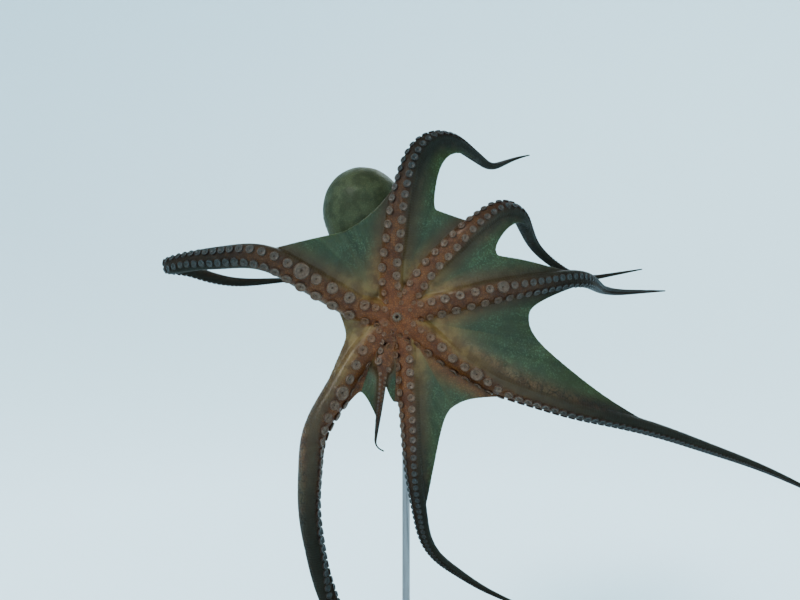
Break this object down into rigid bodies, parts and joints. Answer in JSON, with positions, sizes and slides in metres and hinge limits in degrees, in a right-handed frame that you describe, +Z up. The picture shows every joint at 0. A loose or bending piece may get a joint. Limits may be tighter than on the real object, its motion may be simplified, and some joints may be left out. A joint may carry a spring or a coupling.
{
  "type": "octopus display model",
  "caption": "Life-size display model of a swimming common octopus seen from its mouth side, arms spread with the web between them, held by a rod on a flat base.",
  "frame": {"origin": "centre of the underside of the stand's base", "axes": "-Y is where the mouth and suckers face, +Z is up, the mantle leans up and towards -X behind the web"},
  "size_m": [1.0856, 0.3636, 0.9046],
  "materials": {
    "skin": "wet satin",
    "web": "wet satin",
    "lips": "wet satin",
    "eye": "gloss",
    "stand_base": "satin",
    "stand_rod": "brushed"
  },
  "bodies": {
    "root": {"arm_left_1_stump": "skin", "arm_left_1_tip": "skin", "arm_left_2_base": "skin", "arm_left_2_middle": "skin", "arm_left_2_tip": "skin", "arm_left_3_base": "skin", "arm_left_3_middle": "skin", "arm_left_3_tip": "skin", "arm_left_4_base": "skin", "arm_left_4_middle": "skin", "arm_left_4_tip": "skin", "arm_right_1_base": "skin", "arm_right_1_middle": "skin", "arm_right_1_tip": "skin", "arm_right_2_base": "skin", "arm_right_2_middle": "skin", "arm_right_2_tip": "skin", "arm_right_3_base": "skin", "arm_right_3_middle": "skin", "arm_right_3_tip": "skin", "arm_right_4_base": "skin", "arm_right_4_middle": "skin", "arm_right_4_tip": "skin", "crown": "skin", "head": "skin", "mantle": "skin", "siphon": "skin", "mouth": "lips", "eye_left": "eye", "eye_right": "eye", "web_left_3_4": "web", "web_ventral": "web", "web_right_3_4": "web", "web_right_2_3": "web", "web_right_1_2": "web", "web_dorsal": "web", "web_left_1_2": "web", "web_left_2_3": "web", "stand_rod": "stand_rod", "stand_base": "stand_base"}
  },
  "joints": []
}
